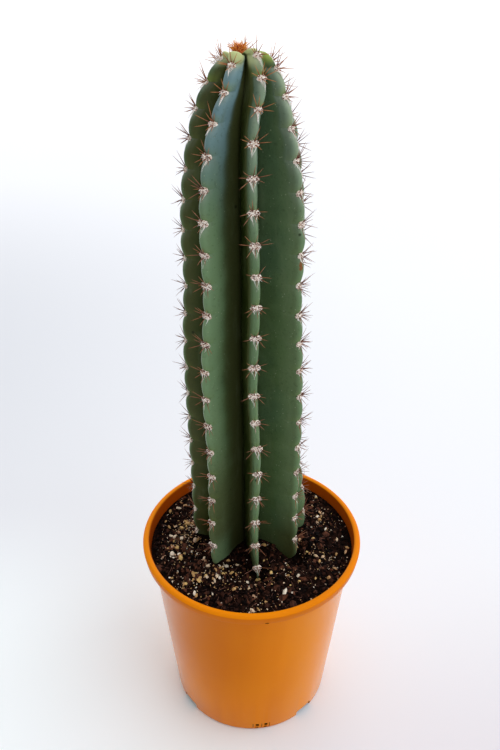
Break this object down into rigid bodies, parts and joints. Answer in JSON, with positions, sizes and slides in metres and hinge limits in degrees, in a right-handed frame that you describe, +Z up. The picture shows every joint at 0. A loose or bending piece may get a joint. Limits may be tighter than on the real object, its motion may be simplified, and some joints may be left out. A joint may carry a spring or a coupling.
{
  "type": "potted tall cactus",
  "caption": "Tall ribbed column cactus with spiny areoles and a tuft of young spines, standing in soil in a tapered round plastic nursery pot.",
  "frame": {"origin": "on the ground under the middle of the pot", "axes": "+Z up along the pot's axis, -Y towards the front, +X to the right seen from the front"},
  "size_m": [0.2, 0.2, 0.608],
  "materials": {
    "pot_plastic": "satin moulded orange plastic",
    "potting_mix": "dark crumbly mix with pale granules and bark",
    "cactus_skin": "waxy blue-green skin",
    "young_spines": "orange horny spines"
  },
  "bodies": {
    "root": {"pot": "pot_plastic", "soil": "potting_mix", "stem": "cactus_skin", "crown_tuft": "young_spines"}
  },
  "joints": []
}
